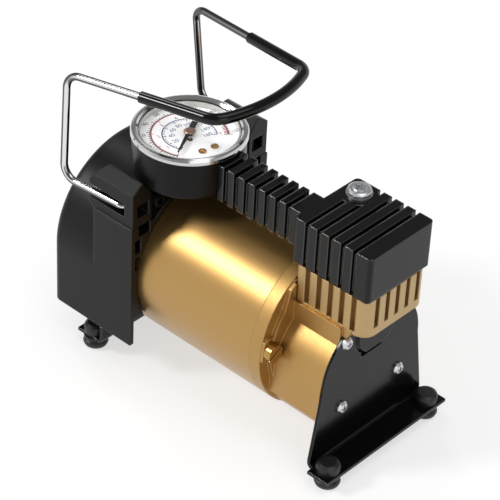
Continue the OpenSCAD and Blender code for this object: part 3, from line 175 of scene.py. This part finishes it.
# Plastic and rubber
shell_plastic = add_texture(
    new_material("shell_plastic", (0.005, 0.0042, 0.004), 0.36, specular=0.22, edge=0.8, glint=0.6),
    2200, bump=0.3, bump_distance=0.0001, rough_range=(0.32, 0.44))
gauge_plastic = add_texture(
    new_material("gauge_plastic", (0.005, 0.0045, 0.0045), 0.3, specular=0.18, edge=0.4),
    900, bump=0.08, bump_distance=0.00005, rough_range=(0.26, 0.34))
switch_black = new_material("switch_black", (0.006, 0.006, 0.006), 0.3)
grip_black = new_material("grip_black", (0.003, 0.003, 0.003), 0.09, specular=0.3)
rubber = add_texture(
    new_material("rubber", (0.006, 0.0055, 0.0055), 0.42),
    1200, bump=0.1, bump_distance=0.00005, rough_range=(0.36, 0.5))

# Bright metal. The wire's base colour carries painted reflections, dark and bright streaks along it in place
# of reflected light and shade
chrome = add_painted_reflections(new_material("chrome", (0.56, 0.56, 0.57), 0.1, 1.0), CHROME_PAINTED_REFLECTIONS)
bezel_chrome = new_material("bezel_chrome", (0.60, 0.60, 0.60), 0.12, 1.0)
bright_zinc = new_material("bright_zinc", (0.62, 0.63, 0.65), 0.33, 1.0, edge=0.15)

# Pump and motor inside
steel = add_texture(
    new_material("steel", (0.52, 0.53, 0.55), 0.3, 1.0), 700, (1, 8, 8), rough_range=(0.22, 0.38))
cast_iron = add_texture(
    new_material("cast_iron", (0.22, 0.22, 0.23), 0.5, 0.8), 700, bump=0.1, rough_range=(0.42, 0.6))
aluminium = add_texture(
    new_material("aluminium", (0.72, 0.72, 0.74), 0.32, 1.0), 700, rough_range=(0.25, 0.4))
seal_white = new_material("seal_white", (0.80, 0.78, 0.72), 0.45)
gasket = add_texture(new_material("gasket", (0.07, 0.05, 0.045), 0.8), 1500, rough_range=(0.7, 0.9))
copper_wire = add_texture(
    new_material("copper_wire", (0.50, 0.20, 0.08), 0.35, 0.7),
    160, (1, 6, 6), bump=0.5, bump_distance=0.0003)
copper = add_texture(new_material("copper", (0.68, 0.32, 0.17), 0.3, 1.0), 900, rough_range=(0.22, 0.4))
ferrite = add_texture(new_material("ferrite", (0.06, 0.06, 0.065), 0.55, 0.3), 900, rough_range=(0.5, 0.65))
carbon = new_material("carbon", (0.02, 0.02, 0.02), 0.6)
board = add_texture(new_material("board", (0.26, 0.15, 0.06), 0.6), 600, (1, 6, 1), rough_range=(0.5, 0.7))
brass = add_texture(new_material("brass", (0.68, 0.42, 0.16), 0.26, 1.0), 900, rough_range=(0.2, 0.34))

# Gauge
dial_white = add_texture(new_material("dial_white", (0.86, 0.86, 0.86), 0.45), 900, rough_range=(0.4, 0.5))
hub_brass = new_material("hub_brass", (0.42, 0.25, 0.19), 0.3, 0.9, edge=0.2)
dial_brass = new_material("dial_brass", (0.42, 0.26, 0.11), 0.25, 1.0, edge=0.1)
inner_ring = add_texture(
    new_material("inner_ring", (0.62, 0.61, 0.58), 0.35, 0.6), 900, rough_range=(0.3, 0.42))
needle_paint = new_material("needle_paint", (0.003, 0.003, 0.003), 0.4, specular=0.2)
ink_black = new_material("ink_black", (0.008, 0.008, 0.01), 0.5)
ink_red = new_material("ink_red", (0.34, 0.012, 0.015), 0.5)
ink_blue = new_material("ink_blue", (0.025, 0.035, 0.16), 0.5)
glass = make_clear(new_material("glass", (1.0, 1.0, 1.0), 0.02), 1.3)

NODE_MATERIALS = {
    gold_cast: ["crankcase"],
    gold_can: ["motor_can"],
    gold_fins: ["cylinder_block"],
    gold_bolt: ["through_bolts"],
    black_cast: ["cylinder_head", "end_bell"],
    black_sheet: ["front_bracket", "rear_bracket"],
    shell_plastic: ["rear_shell"],
    gauge_plastic: ["gauge_case", "hose_outlet"],
    switch_black: ["switch_frame", "switch_rocker", "cooling_fan"],
    grip_black: ["handle_grip"],
    rubber: ["front_feet", "rear_feet", "cord_gland"],
    bezel_chrome: ["gauge_bezel"],
    chrome: ["wire_handle"],
    bright_zinc: ["head_bolt", "head_washer", "bracket_screws", "rear_bracket_screws", "shell_screws"],
    steel: ["motor_shaft", "crank_disc", "wrist_pin", "front_bearing", "rear_bearing", "valve_plate",
            "reed_valve"],
    cast_iron: ["cylinder_liner", "armature_core"],
    aluminium: ["piston", "connecting_rod"],
    seal_white: ["piston_seal"],
    gasket: ["head_gasket"],
    copper_wire: ["armature_winding"],
    copper: ["commutator"],
    ferrite: ["field_magnets"],
    carbon: ["brushes"],
    board: ["brush_plate"],
    hub_brass: ["needle_hub"],
    dial_brass: ["dial_screws"],
    brass: ["bourdon_tube", "gauge_stem"],
    dial_white: ["gauge_dial"],
    inner_ring: ["gauge_ring"],
    needle_paint: ["gauge_needle"],
    glass: ["gauge_lens"],
}
for material, names in NODE_MATERIALS.items():
    for name in names:
        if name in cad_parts:
            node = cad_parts[name]
            for material_slot in node.material_slots:
                material_slot.material = material

# ---------------------------------------------------------------- dial

# Angles are in degrees, and everything else is in millimetres from the hub
GAUGE_X, GAUGE_Y = -89.5, -8.6
DIAL_TOP = 110.6
PRINT_Z = DIAL_TOP + 0.03
OVERPRINT_Z = DIAL_TOP + 0.05
SCALE_START = -63.0
SCALE_SWEEP = 250.0
TEXT_TURN = SCALE_START - SCALE_SWEEP / 2 + 180 + 90
ARC_STEPS = 90
# Small screw beside the hub
SCREW_X, SCREW_Y, SCREW_R, SCREW_POINTS = 2.8, -2.5, 1.2, 20
# Lines: radius and width
BLUE_LINE = (11.6, 0.5)
RED_LINE = (16.2, 0.5)
BLACK_LINE = (16.65, 0.3)
# Ticks: inner radius, length, width and the number of divisions on the scale
BLUE_TICKS = (10.4, 1.1, 0.3, 40)
BLUE_LONG_TICKS = (9.7, 1.8, 0.42, 40)
RED_TICKS = (14.9, 1.2, 0.34, 35)
RED_ZONE_TICKS = (14.6, 1.6, 0.55, 60)
RED_ZONE_FIRST = 55
BLACK_TICKS = (16.7, 0.9, 0.28, 50)
BLACK_LONG_TICKS = (16.7, 1.5, 0.42, 50)
LONG_TICK_STEP = 5
# Numbers: ink, value of one step, first and last step, radius, angle at step 0, angle of a step, height
NUMBERS = (
    (ink_blue, 20, 1, 8, 7.6, -63, 31.6, 3.0),
    (ink_red, 1, 1, 7, 13.1, -52, 37.0, 2.9),
    (ink_black, 10, 2, 10, 19.7, -55.5, 25.0, 2.7),
)


def dial_mesh(name, shapes, material, z=PRINT_Z):
    """Flat printed shapes on the dial. Each shape is a list of (x, y) from the hub."""
    mesh = bpy.data.meshes.new(name)
    vertices, faces = [], []
    for shape in shapes:
        faces.append(list(range(len(vertices), len(vertices) + len(shape))))
        vertices += [at(GAUGE_X + x, GAUGE_Y + y, z) for x, y in shape]
    mesh.from_pydata(vertices, [], faces)
    piece = bpy.data.objects.new(name, mesh)
    bpy.context.scene.collection.objects.link(piece)
    mesh.materials.append(material)
    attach(piece, "inflator")


def scale_angle(share):
    """Angle at a share of the scale, from 0 at its start to 1 at its end, clockwise."""
    return math.radians(SCALE_START - share * SCALE_SWEEP)


def polar(radius, angle):
    return radius * math.cos(angle), radius * math.sin(angle)


def disc(x, y, radius, points):
    rim = (polar(radius, math.radians(360 * i / points)) for i in range(points))
    return [(x + dx, y + dy) for dx, dy in rim]


def arc(radius, width):
    """A line along the whole scale."""
    inner, outer = radius - width / 2, radius + width / 2
    quads = []
    for i in range(ARC_STEPS):
        a, b = scale_angle(i / ARC_STEPS), scale_angle((i + 1) / ARC_STEPS)
        quads.append([polar(inner, a), polar(outer, a), polar(outer, b), polar(inner, b)])
    return quads


def ticks(radius, length, width, count, first=0, step=1):
    """Radial marks that start at that radius."""
    quads = []
    for i in range(first, count + 1, step):
        angle = scale_angle(i / count)
        along = Vector((math.cos(angle), math.sin(angle)))
        across = Vector((-math.sin(angle), math.cos(angle)))
        side = across * width / 2
        start, end = along * radius, along * (radius + length)
        quads.append([tuple(p) for p in (start - side, end - side, end + side, start + side)])
    return quads


def number(text, radius, degrees, size, material):
    x, y = polar(radius, math.radians(degrees))
    curve = bpy.data.curves.new("number_" + material.name + "_" + text, "FONT")
    curve.body = text
    curve.size = size * MM
    curve.align_x, curve.align_y = "CENTER", "CENTER"
    piece = bpy.data.objects.new(curve.name, curve)
    bpy.context.scene.collection.objects.link(piece)
    piece.location = at(GAUGE_X + x, GAUGE_Y + y, PRINT_Z)
    piece.rotation_euler = (0, 0, math.radians(TEXT_TURN))
    curve.materials.append(material)
    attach(piece, "inflator")


dial_mesh("movement_screw", [disc(SCREW_X, SCREW_Y, SCREW_R, SCREW_POINTS)], brass)
# Inner blue scale with its ticks inwards
blue_marks = ticks(*BLUE_TICKS) + ticks(*BLUE_LONG_TICKS, step=LONG_TICK_STEP)
dial_mesh("inner_scale", arc(*BLUE_LINE) + blue_marks, ink_blue)
# Outer double line: red with a zone of bold ticks at its end, inside black with its ticks outwards
red_marks = ticks(*RED_TICKS, step=LONG_TICK_STEP) + ticks(*RED_ZONE_TICKS, first=RED_ZONE_FIRST)
dial_mesh("outer_red", arc(*RED_LINE) + red_marks, ink_red)
black_marks = ticks(*BLACK_TICKS) + ticks(*BLACK_LONG_TICKS, step=LONG_TICK_STEP)
dial_mesh("outer_black", arc(*BLACK_LINE) + black_marks, ink_black, OVERPRINT_Z)
for ink, unit, first, last, radius, start, turn, height in NUMBERS:
    for i in range(first, last + 1):
        number(str(unit * i), radius, start - turn * i, height, ink)

# ---------------------------------------------------------------- floor, light and camera

FLOOR_GLOW = 0.62
WORLD_LEVEL = 0.35
CEILING = 0.25
WALL_DARKENS = (0.12, 0.45)  # heights of the direction of view between which the wall turns into the ceiling
REACH = 6.0
WHITE = (1.0, 1.0, 1.0, 1.0)
floor_mesh = bpy.data.meshes.new("floor")
floor_corners = [(-REACH, -REACH, 0), (REACH, -REACH, 0), (REACH, REACH, 0), (-REACH, REACH, 0)]
floor_mesh.from_pydata(floor_corners, [], [(0, 1, 2, 3)])
floor = bpy.data.objects.new("floor", floor_mesh)
bpy.context.scene.collection.objects.link(floor)


def seen_share(nodes, links):
    """1 for camera rays and reflected or transmitted rays, 0 for the rays that light the object."""
    path = nodes.new("ShaderNodeLightPath")
    share = path.outputs["Is Camera Ray"]
    for ray in ("Is Glossy Ray", "Is Transmission Ray"):
        larger = nodes.new("ShaderNodeMath")
        larger.operation = "MAXIMUM"
        links.new(share, larger.inputs[0])
        links.new(path.outputs[ray], larger.inputs[1])
        share = larger.outputs[0]
    return share


# Pale floor: it keeps its own shading, and where it is seen or reflected a part of its white is added
floor_material = new_material("floor", (0.45, 0.45, 0.45), 0.9, specular=0.0)
floor_nodes, floor_links = floor_material.node_tree.nodes, floor_material.node_tree.links
floor_shader = floor_nodes["Principled BSDF"]
floor_shader.inputs["Emission Color"].default_value = WHITE
glow = floor_nodes.new("ShaderNodeMath")
glow.operation = "MULTIPLY"
glow.inputs[1].default_value = FLOOR_GLOW
floor_links.new(seen_share(floor_nodes, floor_links), glow.inputs[0])
floor_links.new(glow.outputs[0], floor_shader.inputs["Emission Strength"])
floor_mesh.materials.append(floor_material)

# Studio: an even light on the object; seen or reflected it is a white wall that darkens towards the ceiling
world = bpy.data.worlds.new("studio")
bpy.context.scene.world = world
world.use_nodes = True
world_nodes, world_links = world.node_tree.nodes, world.node_tree.links
background = world_nodes["Background"]
direction = world_nodes.new("ShaderNodeTexCoord")
split = world_nodes.new("ShaderNodeSeparateXYZ")
world_links.new(direction.outputs["Generated"], split.inputs["Vector"])
wall = world_nodes.new("ShaderNodeMapRange")
wall.interpolation_type = "SMOOTHSTEP"
wall.inputs["From Min"].default_value, wall.inputs["From Max"].default_value = WALL_DARKENS
wall.inputs["To Min"].default_value, wall.inputs["To Max"].default_value = 1.0, CEILING
world_links.new(split.outputs["Z"], wall.inputs["Value"])
level = world_nodes.new("ShaderNodeMix")
level.inputs["A"].default_value = WORLD_LEVEL
world_links.new(seen_share(world_nodes, world_links), level.inputs["Factor"])
world_links.new(wall.outputs["Result"], level.inputs["B"])
world_links.new(level.outputs["Result"], background.inputs["Strength"])
background.inputs["Color"].default_value = WHITE

LAMP_DISTANCE = 2.0


def lamp(name, direction, strength, spread):
    """A soft light of that strength from that direction, as wide as that angle in degrees."""
    light = bpy.data.lights.new(name, "SUN")
    light.energy = strength
    light.angle = math.radians(spread)
    piece = bpy.data.objects.new(name, light)
    bpy.context.scene.collection.objects.link(piece)
    piece.location = Vector(direction).normalized() * LAMP_DISTANCE
    piece.rotation_euler = Vector(direction).to_track_quat("Z", "Y").to_euler()


lamp("key", (-0.52, -0.61, 0.60), 1.4, 14)
lamp("top", (0.25, 0.10, 1.00), 0.7, 40)
lamp("front", (0.90, -0.45, 0.40), 0.35, 35)
lamp("spark", (-0.62, 0.20, 0.75), 0.3, 10)

AZIMUTH, ELEVATION, ROLL = (math.radians(angle) for angle in (41.21, 37.41, 3.04))
EYE = (477.4, -613.7, 685.6)
LENS = 173.23
SENSOR_WIDTH = 36.0
FARTHEST_SEEN = 20.0
right = Vector((math.cos(AZIMUTH), math.sin(AZIMUTH), 0))
back = Vector((
    math.sin(AZIMUTH) * math.cos(ELEVATION),
    -math.cos(AZIMUTH) * math.cos(ELEVATION),
    math.sin(ELEVATION)))
up = back.cross(right)
right_rolled = right * math.cos(ROLL) + up * math.sin(ROLL)
up_rolled = -right * math.sin(ROLL) + up * math.cos(ROLL)
camera_data = bpy.data.cameras.new("camera")
camera_data.sensor_width = SENSOR_WIDTH
camera_data.lens = LENS
camera_data.clip_end = FARTHEST_SEEN
camera = bpy.data.objects.new("camera", camera_data)
bpy.context.scene.collection.objects.link(camera)
eye = at(*EYE)
camera.matrix_world = Matrix([
    (right_rolled.x, up_rolled.x, back.x, eye.x),
    (right_rolled.y, up_rolled.y, back.y, eye.y),
    (right_rolled.z, up_rolled.z, back.z, eye.z),
    (0, 0, 0, 1)])
bpy.context.scene.camera = camera
bpy.context.scene.view_settings.view_transform = "Standard"
